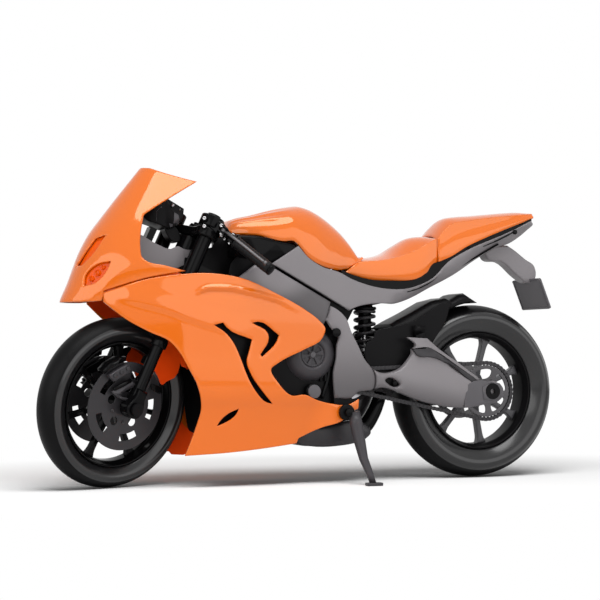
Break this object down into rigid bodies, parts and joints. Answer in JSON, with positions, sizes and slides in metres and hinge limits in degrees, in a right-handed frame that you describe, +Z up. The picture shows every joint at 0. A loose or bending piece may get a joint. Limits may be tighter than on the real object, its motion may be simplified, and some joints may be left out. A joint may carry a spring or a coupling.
{
  "type": "rc motorcycle",
  "caption": "Radio-controlled road-racing motorcycle with a full fairing, steered fork, sprung swing arm, chain drive, hand levers and a folding side stand.",
  "frame": {"origin": "the middle of the hollow rear axle, on the plane between the two sides", "axes": "+X forward, +Y to the rider's left along the rear axle, +Z up"},
  "size_m": [0.4062, 0.134, 0.2257],
  "materials": {
    "orange_paint": "glossy moulded cover, painted orange",
    "satin_grey": "satin grey moulded frame",
    "black_plastic": "black moulded plastic",
    "dark_plastic": "dark grey moulded plastic",
    "black_alloy": "black anodised tube",
    "wheel_paint": "grey painted cast wheel",
    "tyre": "smooth black rubber",
    "grip_rubber": "ribbed black rubber",
    "steel": "bare steel",
    "spring_steel": "black coated spring wire",
    "motor_can": "metal can",
    "battery_wrap": "shrink-wrapped pack",
    "servo_white": "white moulded horn",
    "lamp_lens": "clear lamp lens"
  },
  "bodies": {
    "chassis": {"frame_spar_left": "satin_grey", "frame_spar_right": "satin_grey", "steering_head": "satin_grey", "pivot_plate_left": "satin_grey", "pivot_plate_right": "satin_grey", "seat_panel_left": "satin_grey", "seat_panel_right": "satin_grey", "tank_cover": "orange_paint", "airbox_cover": "black_plastic", "seat": "orange_paint", "tail_cowl": "orange_paint", "nose_cowl_left": "orange_paint", "nose_cowl_right": "orange_paint", "nose_stay": "black_plastic", "headlights": "lamp_lens", "dash": "dark_plastic", "side_fairing_left": "orange_paint", "side_fairing_right": "orange_paint", "radiator": "black_plastic", "engine_block": "dark_plastic", "engine_cover": "black_plastic", "exhaust": "dark_plastic", "plate_bracket": "black_plastic", "number_plate": "dark_plastic", "battery": "battery_wrap", "control_unit": "black_plastic", "drive_motor": "motor_can", "steering_servo": "black_plastic"},
    "servo_horn": {"servo_horn": "servo_white"},
    "steering_link": {"steering_link": "steel"},
    "steering": {"lower_clamp": "satin_grey", "upper_clamp": "satin_grey", "fork_tubes": "black_alloy", "handlebar_left": "black_plastic", "handlebar_right": "black_plastic", "grip_left": "grip_rubber", "grip_right": "grip_rubber"},
    "clutch_lever": {"clutch_lever": "black_plastic"},
    "brake_lever": {"brake_lever": "black_plastic"},
    "fork_lowers": {"fork_sliders": "black_alloy", "front_axle": "steel", "front_calipers": "black_plastic", "front_fender": "orange_paint"},
    "front_wheel_set": {"front_wheel": "wheel_paint", "front_tyre": "tyre", "front_discs": "steel"},
    "swingarm": {"swingarm_left": "satin_grey", "swingarm_right": "satin_grey", "swingarm_bridge": "satin_grey", "hugger": "black_plastic", "rear_axle": "steel", "drive_chain": "steel"},
    "rear_wheel_set": {"rear_wheel": "wheel_paint", "rear_tyre": "tyre", "rear_hub_rings": "steel"},
    "drive_sprocket": {"drive_sprocket": "steel"},
    "shock_upper": {"shock_body": "black_alloy", "shock_spring": "spring_steel"},
    "shock_lower": {"shock_rod": "steel"},
    "side_stand": {"side_stand": "satin_grey"}
  },
  "joints": [
    {"name": "steering", "type": "hinge", "parent": "chassis", "child": "steering", "pos_m": [0.27852, 0, -0.00832], "axis": [-0.4067, 0, 0.9135], "range_deg": [-45, 1]},
    {"name": "fork_travel", "type": "slide", "parent": "steering", "child": "fork_lowers", "axis": [-0.4067, 0, 0.9135], "range_m": [0, 0.009], "stiffness_N_per_m": 1500, "springref_m": -0.012},
    {"name": "front_wheel_spin", "type": "hinge", "parent": "fork_lowers", "child": "front_wheel_set", "pos_m": [0.2836, 0.00225, -0.00605], "axis": [-0.3422, 0.9272, -0.1524], "continuous": true},
    {"name": "swingarm_pivot", "type": "hinge", "parent": "chassis", "child": "swingarm", "pos_m": [0.11, 0, 0.009], "axis": [0, 1, 0], "range_deg": [0, 6], "stiffness_Nm_per_rad": 15, "springref_deg": -8.59},
    {"name": "rear_wheel_spin", "type": "hinge", "parent": "swingarm", "child": "rear_wheel_set", "pos_m": [0, 0, 0], "axis": [0, 1, 0], "continuous": true},
    {"name": "drive_sprocket_spin", "type": "hinge", "parent": "chassis", "child": "drive_sprocket", "pos_m": [0.11, 0, 0.009], "axis": [0, 1, 0], "continuous": true},
    {"name": "shock_swing", "type": "hinge", "parent": "chassis", "child": "shock_upper", "pos_m": [0.09, 0, 0.07], "axis": [0, 1, 0], "range_deg": [-2, 0]},
    {"name": "shock_travel", "type": "slide", "parent": "shock_upper", "child": "shock_lower", "axis": [0, 0, 1], "range_m": [0, 0.0022], "deforming": ["shock_spring"]},
    {"name": "side_stand", "type": "hinge", "parent": "chassis", "child": "side_stand", "pos_m": [0.12, 0.0354, -0.014], "axis": [0, 1, 0], "range_deg": [0, 95]},
    {"name": "servo_horn", "type": "hinge", "parent": "chassis", "child": "servo_horn", "pos_m": [0.19256, 0, 0.09133], "axis": [-0.4067, 0, 0.9135], "range_deg": [-45, 1]},
    {"name": "steering_link", "type": "hinge", "parent": "servo_horn", "child": "steering_link", "pos_m": [0.19619, -0.01205, 0.09514], "axis": [-0.4067, 0, 0.9135], "range_deg": [-1, 45]},
    {"name": "clutch_lever", "type": "hinge", "parent": "steering", "child": "clutch_lever", "pos_m": [0.2141, 0.03703, 0.11371], "axis": [-0.6236, 0.1683, 0.7634], "range_deg": [0, 8], "stiffness_Nm_per_rad": 0.02, "springref_deg": -17.19},
    {"name": "brake_lever", "type": "hinge", "parent": "steering", "child": "brake_lever", "pos_m": [0.23996, -0.03304, 0.12522], "axis": [0.4503, 0.3011, -0.8406], "range_deg": [0, 8], "stiffness_Nm_per_rad": 0.02, "springref_deg": -17.19}
  ],
  "couplings": [
    {"joint": "drive_sprocket_spin", "follows": "rear_wheel_spin", "ratio": 2.8},
    {"joint": "shock_swing", "follows": "swingarm_pivot", "ratio": -0.32609},
    {"joint": "shock_travel", "follows": "swingarm_pivot", "m_per_rad": 0.02},
    {"joint": "servo_horn", "follows": "steering", "ratio": 1},
    {"joint": "steering_link", "follows": "steering", "ratio": -1}
  ]
}
